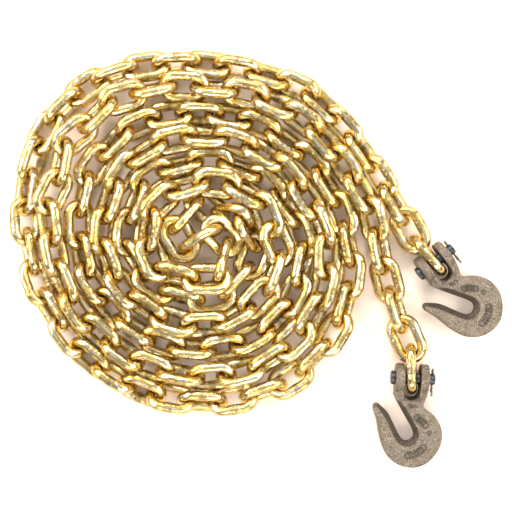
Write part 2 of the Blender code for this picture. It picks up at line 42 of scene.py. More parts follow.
# ---- Layout of the chain, the same as in the CAD model
LINKS = 148
TAIL_LINKS = 7
RUN_LINKS = 4
TAIL_GAP = 0.5 * MM
RUN_GAP = 0.1 * MM
RUN_END_GAP = 1.2 * MM
CENTRE = np.array([-53.2, 21.2]) * MM
LEAN = 50
HOOK_LEAN = (82, 14)
CORE_LEAN = (84, 8)
CORE_LINK = 80.5
CORE_SPREAD = 3.0
TWIST = 28
TWIST_RATE = 0.42
TWIST_DRIFT = 0.27
TWIST_WANDER = 1.4
TWIST_START = 8
TWIST_EASE = 5
REST_HEIGHT = 14.2 * MM
STRAND_B_LIFT = 9.2 * MM
CORE_LIFT = 5.0 * MM
BUNCH_LIFT = 8.0 * MM
BUNCH_SWAY = 3.0 * MM
BUNCH_INSET = 2.0 * MM
BUNCH_ANGLES = (165.0, 255.0)
BUNCH_EDGE = 25.0
CORE_RADIUS = 24 * MM
JOINT_SLACK = 0.4 * MM
ROUTE_STEP = 1.5 * MM
LOOK_AHEAD = 40
TRIM_LIMIT = 9 * MM
HALVINGS = 18
# How the links are eased apart: reach of the search, room for links that don't meet, and limits to each step
EASE_STEPS = 220
CLEARANCE = 0.9 * MM
SEARCH_REACH = 57 * MM
ROLL_LEVER = 60 * MM * MM
FOLD_SPAN = 50 * MM
FOLD_SHARE = 0.15
LARGEST_MOVE = 1.5 * MM
LARGEST_ROLL = 0.05
ROLL_SHARE = 0.8

# Radius of the outermost turn (mm) against the angle in degrees, clockwise from +X
OUTER_TURN = [
    (0, 143), (25, 153), (55, 161), (90, 160), (120, 161), (150, 165), (180, 174.5), (200, 185),
    (220, 191), (240, 187), (256, 178), (272, 172), (300, 175), (330, 180), (345, 185), (360, 190.6),
]
INNER_GROWTH = 45.2 * MM
BULGE_FADE = 0.72
STRAND_A_ANGLES = (290.0, -850.0)
STRAND_B_ANGLES = (-670.0, 325.0)
ANGLE_STEP = 5.0

# Where each tail runs, from its clevis pin to the coil, and how the strands cross at the core (mm)
TAIL_A = [
    (174.3, -1.1), (155.8, 20.6), (142.0, 45.8), (124.4, 73.4),
    (109.3, 98.5), (90.5, 126.2), (70.4, 147.6), (47.8, 168.8),
]
TAIL_B = [
    (151.7, -115.7), (150.6, -88.5), (139.6, -59.6), (131.1, -33.0),
    (122.5, -2.5), (116.0, 28.1), (106.5, 61.5),
]
CORE = [(-33, 10), (-30, -4), (-17, -14), (0, 0), (17, 14), (30, 4), (33, -10)]

# ---- Clevis grab hook, in its own frame: pin along X, chain towards +Y, flat sides facing Z
PIN_HEIGHT = 17.4 * MM
HOOK_DROOP = 6.1
HOOK_YAW = {"a": 38, "b": -3}
BODY_THICKNESS = 16 * MM
EAR_RADIUS = 14.5 * MM
CLEVIS_HALF = 16.5 * MM
SLOT_HALF = 7.75 * MM
SLOT_DEPTH = 20.3 * MM
PIN_RADIUS = 5.5 * MM
PIN_CLEARANCE = 0.35 * MM
HEAD_RADIUS = 6.9 * MM
HEAD_LENGTH = 4.5 * MM
PIN_STICKOUT = 6.5 * MM
DOME = 0.9 * MM
HEAD_RIM = 0.8 * MM
COTTER_WIRE = 1.05 * MM
COTTER_HOLE = 2.4 * MM
EYE_RADIUS = 2.3 * MM
EYE_HEIGHT = 7.7 * MM
# The cotter's legs: sideways as a multiple of half their spacing, and lengthwise in mm
COTTER_LEGS = (
    [(1, 4.7), (1, 2), (1, -6), (1.5, -8.5), (2.2, -12), (2.6, -16.4)],
    [(-1, 4.7), (-1, 2), (-1, -6), (-1.6, -8.5), (-2.4, -13.5)],
)
COTTER_X = 20.2 * MM
LINK_PIN_GAP = 0.4 * MM


# ---------------------------------------------------------------- small helpers


def add_object(name, data):
    """A new object in the scene, with the given mesh, light or camera."""
    thing = bpy.data.objects.new(name, data)
    bpy.context.scene.collection.objects.link(thing)
    return thing


def unit(v):
    """Vectors scaled to length 1."""
    return v / np.maximum(np.linalg.norm(v, axis=-1, keepdims=True), 1e-12)


def smooth(points, steps):
    """Catmull-Rom curve through the points, open at both ends."""
    p = np.asarray(points, float)
    p = np.vstack([2 * p[0] - p[1], p, 2 * p[-1] - p[-2]])
    t = np.linspace(0, 1, steps, endpoint=False)[:, None]
    spans = [
        0.5 * (2 * b + (c - a) * t + (2 * a - 5 * b + 4 * c - d) * t**2 + (3 * b - a - 3 * c + d) * t**3)
        for a, b, c, d in zip(p, p[1:], p[2:], p[3:])
    ]
    return np.vstack(spans + [p[-2:-1]])


def read_table(x, rows):
    """Smooth value at x from rows of (x, value)."""
    at, value = np.array(rows, float).T
    slope = np.gradient(value, at)
    i = np.clip(np.searchsorted(at, x, side="right") - 1, 0, len(at) - 2)
    span = at[i + 1] - at[i]
    t = (x - at[i]) / span
    start = (2 * t**3 - 3 * t**2 + 1) * value[i] + (t**3 - 2 * t**2 + t) * span * slope[i]
    end = (3 * t**2 - 2 * t**3) * value[i + 1] + (t**3 - t**2) * span * slope[i + 1]
    return start + end


def ramp(x):
    """0 to 1 with soft ends."""
    x = np.clip(x, 0, 1)
    return x * x * (3 - 2 * x)


# ---------------------------------------------------------------- the chain's route


def bunched(angle):
    """1 where the second turn lies bunched at the left, 0 elsewhere."""
    low, high = BUNCH_ANGLES
    return np.clip((angle - low) / BUNCH_EDGE, 0, 1) * np.clip((high - angle) / BUNCH_EDGE, 0, 1)


def strand_radius(strand_b, total, trim):
    """Radius of a strand at its total angle. The last turn has 0 to 360 degrees, inner turns less."""
    first, last = OUTER_TURN[0][1] * MM, OUTER_TURN[-1][1] * MM

    def even_spiral(angle):
        return first + np.where(angle > 0, last - first, INNER_GROWTH) * angle / 360

    turn = np.floor(total / 360)
    angle = total - 360 * turn
    depth = -2 * turn + strand_b
    bulge = read_table(angle, OUTER_TURN) * MM - (first + (last - first) * angle / 360)
    base = even_spiral(total)
    if strand_b:
        base = (base + even_spiral(total - 360)) / 2 - BUNCH_INSET * bunched(angle) * (turn == 0)
    squeeze = np.clip((base - 25 * MM) / (60 * MM), 0, 1)
    bulge = np.maximum(bulge, 0) * BULGE_FADE**depth + np.minimum(bulge, 0) * squeeze
    return base + bulge + trim * np.clip((depth - 1) / 2, 0, 1)


def strand(strand_b, limits, trim):
    """Points of one strand, with their angles."""
    step = ANGLE_STEP if limits[1] > limits[0] else -ANGLE_STEP
    angle = np.arange(limits[0], limits[1], step)
    radius = strand_radius(strand_b, angle, trim)
    t = np.radians(angle)
    return CENTRE + radius[:, None] * np.column_stack([np.cos(t), -np.sin(t)]), angle


def route(trim):
    """Dense route from pin A through the core to pin B, for links of even and of odd number."""
    a, _ = strand(0, STRAND_A_ANGLES, trim)
    b, angle_b = strand(1, STRAND_B_ANGLES, trim)
    core = np.array(CORE) * MM + CENTRE
    points = np.vstack([np.array(TAIL_A) * MM, a, core, b, np.array(TAIL_B[::-1]) * MM])
    before = len(TAIL_A) + len(a)
    after = before + len(core)
    i = np.arange(len(points))
    on_b = np.clip((i - before + 1) / (after - before + 1), 0, 1)
    in_core = np.sin(np.pi * np.clip((i - before + 3) / (after - before + 5), 0, 1))
    bunch = np.zeros(len(points))
    bunch[after : after + len(b)] = bunched(angle_b)
    fine = smooth(np.column_stack([points, on_b, in_core, bunch]), 8)
    run = np.concatenate([[0], np.cumsum(np.linalg.norm(np.diff(fine[:, :2], axis=0), axis=1))])
    s = np.append(np.arange(0, run[-1], ROUTE_STEP), run[-1])
    x, y, on_b, in_core, bunch = (np.interp(s, run, fine[:, k]) for k in range(5))
    to_end = (s[-1] - s) / PITCH
    to_hook = np.minimum(s / PITCH, to_end)
    z = REST_HEIGHT + STRAND_B_LIFT * on_b * ramp((to_end - 0.5) / 5) + CORE_LIFT * in_core
    z += BUNCH_LIFT * bunch + (PIN_HEIGHT - REST_HEIGHT) * ramp(1 - (to_hook - 0.9) / 1.6)
    flat = np.column_stack([x, y])
    sway = unit(flat - CENTRE) * (BUNCH_SWAY * bunch)[:, None]
    return np.column_stack([flat + sway, z]), np.column_stack([flat - sway, z])


def walk(trim):
    """Steps along the route one link at a time. Returns the joints and what is left over at the end."""
    even, odd = route(trim)
    joints = [even[0]]
    at = 0
    for number in range(1, LINKS + 1):
        line = even if number % 2 == 0 else odd
        radius = max(np.linalg.norm(joints[-1][:2] - CENTRE), CORE_RADIUS)
        slack = (WIRE + JOINT_SLACK) / max(np.cos(PITCH / 2 / radius) ** 2, 0.7)
        length = 2 * CROWN - slack
        if number in (1, LINKS):
            length = CROWN + STRAIGHT + HALF_WIDTH - PIN_RADIUS - LINK_PIN_GAP - WIRE
        ahead = line[at + 1 : at + LOOK_AHEAD]
        far = np.linalg.norm(ahead - joints[-1], axis=1)
        reached = np.nonzero(far >= length)[0]
        if len(reached) == 0:
            return np.array(joints), -PITCH * (LINKS + 1 - number)
        k = reached[0]
        share = (length - far[k - 1]) / (far[k] - far[k - 1]) if k else 1.0
        joints.append(ahead[k - 1] + (ahead[k] - ahead[k - 1]) * share if k else ahead[0])
        at += k if k else 1
    return np.array(joints), np.linalg.norm(joints[-1] - even[-1])


def first_layout():
    """Joints along the route, its inner turns trimmed so that a whole number of links fits."""
    low, high = -TRIM_LIMIT, TRIM_LIMIT
    for _ in range(HALVINGS):
        middle = (low + high) / 2
        _, left = walk(middle)
        if left > 0:
            high = middle
        else:
            low = middle
    joints, _ = walk(high)
    return joints


def leans():
    """Roll of each link about its length. Neighbours lean opposite ways, and stand up near the hooks.

    Between the ends a slow twist along the chain lays one link flatter and stands the next one up.
    """
    number = np.arange(LINKS)
    from_hook = np.minimum(number, LINKS - 1 - number)
    steep = from_hook % 2 == 0
    near = np.clip(1 - from_hook / 6, 0, 1) ** 1.5
    core = np.exp(-(((number - CORE_LINK) / CORE_SPREAD) ** 2))
    lean = LEAN + near * (np.where(steep, *HOOK_LEAN) - LEAN)
    lean = lean + core * (np.where(steep, *CORE_LEAN) - lean)
    calm = np.exp(-(((number - CORE_LINK) / (2 * CORE_SPREAD)) ** 2))
    free = np.clip((from_hook - TWIST_START) / TWIST_EASE, 0, 1) * (1 - calm)
    twist = TWIST * np.sin(TWIST_RATE * number + TWIST_WANDER * np.sin(TWIST_DRIFT * number)) * free
    return np.radians(np.where(number % 2 == 0, lean, -lean) + twist)


# ---------------------------------------------------------------- links eased clear of each other


def axes(start, end, roll):
    """Each link's direction along its length, and across its width."""
    along = unit(end - start)
    level = unit(np.cross([0, 0, 1.0], along))
    up = np.cross(along, level)
    return along, level * np.cos(roll)[:, None] + up * np.sin(roll)[:, None]


def stadium(per_crown):
    """Centre line of a link in its own plane."""
    t = np.linspace(-np.pi / 2, np.pi / 2, per_crown)
    crown = np.column_stack([STRAIGHT + HALF_WIDTH * np.cos(t), HALF_WIDTH * np.sin(t)])
    return np.vstack([crown, -crown])


def nearest(first, second):
    """Nearest points of closed lines, pair by pair: distance, offset and the two points."""
    a = first[:, :, None, :]
    b = second[:, None, :, :]
    da = np.roll(first, -1, 1)[:, :, None, :] - a
    db = np.roll(second, -1, 1)[:, None, :, :] - b
    r = a - b
    aa, bb, ab = (da * da).sum(-1), (db * db).sum(-1), (da * db).sum(-1)
    ra, rb = (da * r).sum(-1), (db * r).sum(-1)
    area = aa * bb - ab * ab
    flat = area < 1e-6 * aa * bb
    s = np.clip(np.where(flat, 0.5, (ab * rb - ra * bb) / np.where(flat, 1, area)), 0, 1)
    t = np.clip((ab * s + rb) / bb, 0, 1)
    s = np.clip((ab * t - ra) / aa, 0, 1)
    p = a + s[..., None] * da
    q = b + t[..., None] * db
    offset = p - q
    distance = np.sqrt((offset * offset).sum(-1)).reshape(len(first), -1)
    pick = distance.argmin(1)
    row = np.arange(len(first))
    p, q, offset = (v.reshape(len(first), -1, 3)[row, pick] for v in (p, q, offset))
    return distance[row, pick], offset, p, q


def joint_gaps():
    """Gap between the crowns at each joint of the chain."""
    joint = np.arange(1, LINKS)
    inside = (joint >= TAIL_LINKS) & (joint <= LINKS - TAIL_LINKS)
    between = (joint - TAIL_LINKS) % RUN_LINKS == 0
    return np.where(inside, np.where(between, RUN_END_GAP, RUN_GAP), TAIL_GAP)


def ease(start, end, roll, steps):
    """Moves and rolls the links by small steps until crowns meet at their gaps and the rest is clear."""
    gaps = joint_gaps()
    held = np.ones(LINKS)
    held[[0, -1]] = 0
    outline = stadium(6)
    for step in range(steps):
        along, across = axes(start, end, roll)
        middle = (start + end) / 2
        if step % 10 == 0:
            i, j = np.triu_indices(LINKS, 1)
            close = np.linalg.norm(middle[i] - middle[j], axis=1) < SEARCH_REACH
            i, j = i[close], j[close]
            need = np.where(j - i == 1, WIRE - 0.1 * MM + gaps[np.minimum(i, LINKS - 2)], WIRE + CLEARANCE)
        lines = middle[:, None] + outline[None, :, :1] * along[:, None]
        lines = lines + outline[None, :, 1:] * across[:, None]
        distance, offset, p, q = nearest(lines[i], lines[j])
        hit = distance < need
        push = unit(offset[hit]) * ((need - distance)[hit] / 2)[:, None]
        move_start, move_end, turn = np.zeros_like(start), np.zeros_like(end), np.zeros(LINKS)
        for link, point, shove in ((i[hit], p[hit], push), (j[hit], q[hit], -push)):
            share = ((point - start[link]) * along[link]).sum(1) / (2 * CROWN)
            share = np.clip(share, 0, 1)[:, None]
            np.add.at(move_start, link, shove * (1 - share))
            np.add.at(move_end, link, shove * share)
            arm = point - middle[link]
            arm -= (arm * along[link]).sum(1)[:, None] * along[link]
            twist = (np.cross(arm, shove) * along[link]).sum(1)
            np.add.at(turn, link, twist / ((arm * arm).sum(1) + ROLL_LEVER))
        fold = end[1:] - start[:-1]
        open_up = np.maximum(FOLD_SPAN - np.linalg.norm(fold, axis=1), 0)[:, None] * unit(fold) * FOLD_SHARE
        move_end[1:] += open_up
        move_start[:-1] -= open_up
        for move in (move_start, move_end):
            size = np.linalg.norm(move, axis=1)
            move *= (held * np.minimum(1, LARGEST_MOVE / np.maximum(size, 1e-12)))[:, None]
        start, end = start + move_start, end + move_end
        roll = roll + np.clip(turn * ROLL_SHARE, -LARGEST_ROLL, LARGEST_ROLL) * held
        for _ in range(6):
            start, end = close_joints(start, end, roll, gaps, held)
        along, across = axes(start, end, roll)
        reach = STRAIGHT * np.abs(along[:, 2]) + HALF_WIDTH * np.hypot(along[:, 2], across[:, 2]) + WIRE / 2
        sunk = np.maximum(reach - (start[:, 2] + end[:, 2]) / 2, 0) * held
        start[:, 2] += sunk
        end[:, 2] += sunk
    return start, end, roll


def close_joints(start, end, roll, gaps, held):
    """Brings neighbouring crowns together across their common normal, and keeps each link's length."""
    along, across = axes(start, end, roll)
    normal = unit(np.cross(across[:-1], across[1:]))
    normal *= np.sign((normal * (along[:-1] + along[1:])).sum(1))[:, None]
    error = end[:-1] - start[1:] - (WIRE + gaps)[:, None] * normal
    total = held[:-1] + held[1:]
    end[:-1] -= error * (held[:-1] / total)[:, None]
    start[1:] += error * (held[1:] / total)[:, None]
    span = end - start
    length = np.linalg.norm(span, axis=1)
    fix = ((length - 2 * CROWN) / length / 2 * held)[:, None] * span
    return start + fix, end - fix


def chain_layout():
    """Crown centres of each link and its roll, in order from hook A to hook B."""
    joints = first_layout()
    along = unit(np.diff(joints, axis=0))
    middle = (joints[:-1] + joints[1:]) / 2
    reach = CROWN - PIN_RADIUS - LINK_PIN_GAP - WIRE / 2
    middle[0] = joints[0] + along[0] * reach
    middle[-1] = joints[-1] - along[-1] * reach
    return ease(middle - along * CROWN, middle + along * CROWN, leans(), EASE_STEPS)


# ---------------------------------------------------------------- meshes from grids of points


def grid_mesh(name, grids, material, closed=(True, True)):
    """One mesh of several grids (rows, columns, 3), each with its UV grid and values for its vertices."""
    points, faces, uvs, values = [], [], [], {}
    first = 0
    for grid, uv, value in grids:
        rows, columns = grid.shape[:2]
        number = first + np.arange(rows * columns).reshape(rows, columns)
        i = np.arange(rows if closed[0] else rows - 1)
        j = np.arange(columns if closed[1] else columns - 1)
        i, j = (v.ravel() for v in np.meshgrid(i, j, indexing="ij"))
        a, b = (i + 1) % rows, (j + 1) % columns
        faces.append(np.column_stack([number[i, j], number[a, j], number[a, b], number[i, b]]))
        uvs.append(np.stack([uv[i, j], uv[i + 1, j], uv[i + 1, j + 1], uv[i, j + 1]], axis=1))
        points.append(grid.reshape(-1, 3))
        for key, array in value.items():
            values.setdefault(key, []).append(np.broadcast_to(array, grid.shape[:2]).ravel())
        first += rows * columns
    mesh = bpy.data.meshes.new(name)
    mesh.from_pydata(np.vstack(points), [], np.vstack(faces).tolist())
    layer = mesh.uv_layers.new(name="wire")
    layer.data.foreach_set("uv", np.vstack(uvs).ravel())
    for key, arrays in values.items():
        attribute = mesh.attributes.new(key, "FLOAT", "POINT")
        attribute.data.foreach_set("value", np.concatenate(arrays).astype(np.float32))
    mesh.shade_smooth()
    mesh.materials.append(material)
    return add_object(name, mesh)


# ---------------------------------------------------------------- chain links

CROWN_STEPS = 22
SIDE_STEPS = 22
ROUND_STEPS = 20
WELD_HALF = 2.7 * MM
WELD_RAISE = 0.26 * MM
WELD_MARK = 3.6 * MM
WAIST = 0.012
OVALITY = 0.008
UV_STEP = 0.37
CHAIN_SEED = 11


def link_centre_line():
    """Points, outward directions, arc lengths and distances from the weld, round the link."""
    turn = np.linspace(-np.pi / 2, np.pi / 2, CROWN_STEPS, endpoint=False)
    run = np.linspace(STRAIGHT, -STRAIGHT, SIDE_STEPS, endpoint=False)
    crown = np.column_stack([STRAIGHT + HALF_WIDTH * np.cos(turn), HALF_WIDTH * np.sin(turn)])
    side = np.column_stack([run, np.full(len(run), HALF_WIDTH)])
    out_crown = np.column_stack([np.cos(turn), np.sin(turn)])
    out_side = np.column_stack([np.zeros(len(run)), np.ones(len(run))])
    line = np.vstack([crown, side, -crown, -side])
    out = np.vstack([out_crown, out_side, -out_crown, -out_side])
    length = np.concatenate([[0], np.cumsum(np.linalg.norm(np.diff(line, axis=0), axis=1))])
    weld = np.where(line[:, 1] > HALF_WIDTH - 0.01 * MM, np.abs(line[:, 0]), 1.0)
    return line, out, length, weld


def link_grid(spot, number, rng):
    """Surface of one link: the round wire, its sides drawn slightly in, and the trimmed weld on one side."""
    start, end, along, across = spot
    line, out, length, weld = link_centre_line()
    flip = 1 if rng.random() < 0.5 else -1
    waist = 1 - WAIST * np.exp(-((line[:, 0] / (7 * MM)) ** 2))
    line = line * np.column_stack([np.ones(len(line)), waist])
    phase = np.linspace(0, 2 * np.pi, ROUND_STEPS, endpoint=False)
    lip = np.exp(-(((weld - WELD_HALF) / (0.55 * MM)) ** 2)) + 0.45 * np.exp(-((weld / (1.6 * MM)) ** 4))
    rough = 1 + 0.35 * np.sin(2 * phase + rng.uniform(0, 6)) + 0.25 * np.sin(3 * phase + rng.uniform(0, 6))
    oval = 1 + OVALITY * np.cos(2 * phase + rng.uniform(0, 6))
    radius = WIRE / 2 * oval[None, :] + WELD_RAISE * lip[:, None] * rough[None, :]
    normal = np.cross(along, across)
    outward = out[:, :1] * along + flip * out[:, 1:] * across
    middle = (start + end) / 2 + line[:, :1] * along + flip * line[:, 1:] * across
    ring = np.cos(phase)[None, :, None] * outward[:, None] + np.sin(phase)[None, :, None] * normal * flip
    grid = middle[:, None] + radius[..., None] * ring
    u = np.append(length, length[-1] + np.linalg.norm(line[-1] - line[0])) + number * UV_STEP
    v = np.linspace(0, 2 * np.pi, ROUND_STEPS + 1) * WIRE / 2
    uv = np.stack(np.meshgrid(u, v, indexing="ij"), axis=-1)
    mark = np.exp(-((weld / WELD_MARK) ** 4))
    return grid, uv, {"tone": rng.random(), "weld": mark[:, None]}


def make_chain(material, layout):
    """One piece for each CAD node: the single tail links, and the coil's runs of links."""
    start, end, roll = layout
    along, across = axes(start, end, roll)
    rng = np.random.default_rng(CHAIN_SEED)
    spots = zip(start, end, along, across)
    grids = [link_grid(spot, number, rng) for number, spot in enumerate(spots)]
    for number in range(TAIL_LINKS):
        for letter, index in (("a", number), ("b", LINKS - 1 - number)):
            node = f"link_{letter}_{number + 1:02d}"
            piece = grid_mesh(f"welded_{node}", [grids[index]], material)
            place(piece, node, node)
    for count, first in enumerate(range(TAIL_LINKS, LINKS - TAIL_LINKS, RUN_LINKS)):
        last = min(first + RUN_LINKS, LINKS - TAIL_LINKS)
        node = f"coil_run_{count + 1:02d}"
        piece = grid_mesh(f"welded_{node}", grids[first:last], material)
        place(piece, "coil", node)


def place(piece, body, node):
    """Puts a piece on its body, in place of its CAD node."""
    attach(piece, body)
    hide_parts(node)


def layout_in_frame(frame):
    """The chain's layout, moved so that its first pin lies on the frame's hook pivot."""
    start, end, roll = chain_layout()
    along, _ = axes(start, end, roll)
    reach = PIN_RADIUS + LINK_PIN_GAP + WIRE / 2
    shift = np.array(pin_centre(frame, "a")) - (start[0] + along[0] * reach)
    return start + shift, end + shift, roll


def pin_centre(frame, letter):
    """Where a hook hangs: the point of its pivot in the frame."""
    joints = {joint["name"]: joint for joint in frame["joints"]}
    return Vector(joints[f"hook_{letter}_pivot"]["pos_m"])


def hook_matrix(frame, letter):
    """From the hook's own frame to the object's."""
    droop = Matrix.Rotation(np.radians(HOOK_DROOP), 4, "X")
    yaw = Matrix.Rotation(np.radians(HOOK_YAW[letter]), 4, "Z")
    return Matrix.Translation(pin_centre(frame, letter)) @ yaw @ droop


# ---------------------------------------------------------------- forged hook

# Outside of the hook below the clevis (mm), from the left of the shank, round the tip and the bowl
HOOK_OUTSIDE = [
    (-16.5, 2), (-17.2, -8), (-17.2, -16), (-20, -23), (-25, -25.8), (-31.5, -26.3), (-35.8, -28),
    (-36.9, -31.5), (-35.2, -36.5), (-32.8, -42.5), (-31.2, -49), (-29.4, -57), (-27.2, -64.5),
    (-24, -72), (-19.8, -78.2), (-15, -82.6), (-10, -85.8), (-4.5, -87.9), (4.3, -88.9), (10, -88.2),
    (15.4, -86.2), (20.4, -83), (24.8, -78.6), (28.4, -73.5), (31.2, -67.6), (32.8, -61.8),
    (33.2, -56), (32.6, -50.5), (31, -45.4), (28.4, -40.8), (25, -37), (21.2, -34), (17.6, -31.8),
    (14.6, -29.8), (13, -27), (12.8, -24), (14.2, -20), (15.6, -15.5), (16.4, -9), (16.5, 2),
]
# The throat at mid thickness (mm): down its right wall, round the bottom and up its left wall
THROAT = [
    (-18.5, -14.5), (-14.2, -22.5), (-8.9, -31.2), (-4.3, -38.5), (0.6, -46), (3.9, -52), (4.9, -56.5),
    (3, -60.4), (-0.8, -62.4), (-4.6, -61.8), (-7.8, -59.2), (-12.4, -51.4), (-17, -42.8),
    (-21.4, -35.6), (-26, -31), (-32, -26), (-38, -21),
]
THROAT_OPEN = [(-46, -18), (-46, -6), (-26, -6)]
THROAT_FLARE = 5.4 * MM
THROAT_LAND = 2.0 * MM
FORGE_VOXEL = 0.5 * MM
FORGE_SMOOTHING = 5
MARK_HEIGHT = 0.42 * MM
# Widening (mm) of the marks for the painted shade rims round them
MARK_SHADE_RIM = 0.6
# The flat body begins below this height, under the clevis
BODY_TOP = -22 * MM
# Plain pads and bars that are raised on the body's faces (mm)
PAD_CENTRE = np.array([-1.5, -56.5])
PAD_BARS = 6
SHORT_BARS = (
    ((-2.5, -24.6), (-1.0, -27.4)),
    ((0.2, -24.8), (1.7, -27.6)),
    ((3.4, -25.6), (5.6, -26.8)),
)
NECK_X = -0.5 * MM
MERGE_DISTANCE = 1e-6


def evaluated_mesh(thing):
    """A new mesh of the object as its modifiers leave it."""
    bpy.context.view_layer.update()
    graph = bpy.context.evaluated_depsgraph_get()
    return bpy.data.meshes.new_from_object(thing.evaluated_get(graph), depsgraph=graph)


def outline_solid(name, points, half, bevel, steps):
    """A flat outline with thickness and rounded edges."""
    curve = bpy.data.curves.new(name, "CURVE")
    curve.dimensions = "2D"
    curve.fill_mode = "BOTH"
    curve.extrude = half - bevel
    curve.bevel_depth = bevel
    curve.bevel_resolution = steps
    curve.offset = -bevel
    spline = curve.splines.new("POLY")
    spline.points.add(len(points) - 1)
    for slot, (x, y) in zip(spline.points, points):
        slot.co = (x, y, 0, 1)
    spline.use_cyclic_u = True
    thing = add_object(name, curve)
    mesh = evaluated_mesh(thing)
    bpy.data.objects.remove(thing)
    clean_mesh(mesh)
    return add_object(name, mesh)


def clean_mesh(mesh):
    """Joins the mesh's coincident points and turns its faces outwards."""
    bm = bmesh.new()
    bm.from_mesh(mesh)
    bmesh.ops.remove_doubles(bm, verts=bm.verts, dist=MERGE_DISTANCE)
    bmesh.ops.recalc_face_normals(bm, faces=bm.faces)
    bm.to_mesh(mesh)
    bm.free()


def mesh_from(bm, name):
    """A new mesh from the bmesh, its faces turned outwards."""
    bmesh.ops.recalc_face_normals(bm, faces=bm.faces)
    mesh = bpy.data.meshes.new(name)
    bm.to_mesh(mesh)
    bm.free()
    return mesh


def loft(name, rings):
    """A closed mesh through rings that have the same number of points."""
    bm = bmesh.new()
    rings = [[bm.verts.new(point) for point in ring] for ring in rings]
    for ring, after in zip(rings, rings[1:]):
        for k in range(len(ring)):
            bm.faces.new((ring[k - 1], ring[k], after[k], after[k - 1]))
    bm.faces.new(rings[0])
    bm.faces.new(rings[-1])
    return mesh_from(bm, name)


def turned(name, profile, sides):
    """A solid turned about X from (x, radius) corners."""
    bm = bmesh.new()
    verts = [bm.verts.new((x, r, 0)) for x, r in profile]
    edges = [bm.edges.new(pair) for pair in zip(verts, verts[1:])]
    bmesh.ops.spin(
        bm, geom=verts + edges, cent=(0, 0, 0), axis=(1, 0, 0), angle=np.radians(360), steps=sides,
        use_merge=True,
    )
    bmesh.ops.remove_doubles(bm, verts=bm.verts, dist=MERGE_DISTANCE)
    return add_object(name, mesh_from(bm, name))


def combine(thing, others, operation):
    """Joins the others to the thing, or cuts them from it, and removes them."""
    for other in others:
        cut = thing.modifiers.new(operation.title(), "BOOLEAN")
        cut.operation = operation
        cut.solver = "EXACT"
        cut.object = other
    mesh = evaluated_mesh(thing)
    thing.modifiers.clear()
    thing.data = mesh
    for other in others:
        bpy.data.objects.remove(other)


def rounded(corner_x, radius, rim, steps=5):
    """Profile of a disc's edge: from the axis at corner_x, out and round its rim."""
    sign = np.sign(corner_x)
    t = np.linspace(0, np.pi / 2, steps)
    arc = [(corner_x - sign * rim * (1 - np.cos(a)), radius - rim + rim * np.sin(a)) for a in t]
    return [(corner_x, 0)] + arc


def rounded_disc(name, ends, radius, rim, sides):
    """A thick disc about X between its two ends, with round rims."""
    left, right = ends
    return turned(name, rounded(left, radius, rim) + rounded(right, radius, rim)[::-1], sides)


def cylinder(name, half, radius, sides):
    """A plain cylinder about X."""
    return turned(name, [(-half, 0), (-half, radius), (half, radius), (half, 0)], sides)


def throat_cutter():
    """The throat: narrow at mid thickness, and flared towards both faces with a soft shoulder."""
    wall = smooth(np.array(THROAT) * MM, 4)
    ahead = unit(np.gradient(wall, axis=0))
    out = np.column_stack([-ahead[:, 1], ahead[:, 0]])
    run = np.linspace(0, 1, len(wall))
    flare = ramp(run / 0.14) * (0.35 + 0.65 * ramp((1 - run) / 0.2))
    top = BODY_THICKNESS / 2
    land = THROAT_LAND / 2
    rings = []
    for z in np.linspace(-top - 3 * MM, top + 3 * MM, 15):
        share = ((abs(z) - land) / (top - land)) ** 1.25 if abs(z) > land else 0
        moved = wall + out * (flare * share * THROAT_FLARE)[:, None]
        corners = np.vstack([moved, np.array(THROAT_OPEN) * MM])
        rings.append([(x, y, z) for x, y in corners])
    return add_object("throat", loft("throat", rings))


def slot_cutter():
    """The clevis slot: parallel walls and a round bottom."""
    t = np.radians(np.linspace(180, 360, 25))
    bottom = SLOT_HALF - SLOT_DEPTH
    points = [(SLOT_HALF * np.cos(a), bottom + SLOT_HALF * np.sin(a)) for a in t]
    points += [(SLOT_HALF, 30 * MM), (-SLOT_HALF, 30 * MM)]
    return outline_solid("slot", points, 25 * MM, 0, 0)


def segment_distance(p, a, b):
    """Distance of points from the segment a-b."""
    a, b = np.array(a), np.array(b)
    t = np.clip(((p - a) @ (b - a)) / ((b - a) @ (b - a)), 0, 1)
    return np.linalg.norm(p - a - t[:, None] * (b - a), axis=1)


def raised_marks(p, wider=0.0):
    """Height (0 to 1) of the plain raised marks on the hook's faces, at points in mm."""
    offset = p - PAD_CENTRE
    radius = np.linalg.norm(offset, axis=1)
    angle = np.degrees(np.arctan2(offset[:, 1], offset[:, 0]))

    def ridge(distance, half):
        return ramp((half + wider - distance) / 0.45 + 0.5)

    def arc_pill(middle, low, high, wide):
        """Outline of a long rounded pad that follows the bowl, and the short bars inside it."""
        inside = np.clip(angle, low, high)
        t = np.radians(inside)
        centre = PAD_CENTRE + middle * np.column_stack([np.cos(t), np.sin(t)])
        distance = np.linalg.norm(p - centre, axis=1)
        outline = ridge(np.abs(distance - wide), 0.35)
        step = (high - low) / PAD_BARS
        nearest_bar = low + (np.floor((inside - low) / step) + 0.5) * step
        along = np.radians(angle - nearest_bar) * radius
        bars = ridge(np.abs(along), 0.42) * ridge(np.abs(radius - middle), wide - 1.3)
        return np.maximum(outline, bars * (angle > low) * (angle < high))

    marks = arc_pill(19.6, -84, -34, 3.0)
    marks = np.maximum(marks, arc_pill(20.6, 36, 66, 2.8))
    for a, b in SHORT_BARS:
        marks = np.maximum(marks, ridge(segment_distance(p, a, b), 0.42))
    marks = np.maximum(marks, ridge(np.abs(segment_distance(p, (19.8, -52), (19.8, -52.1)) - 1.6), 0.35))
    return marks


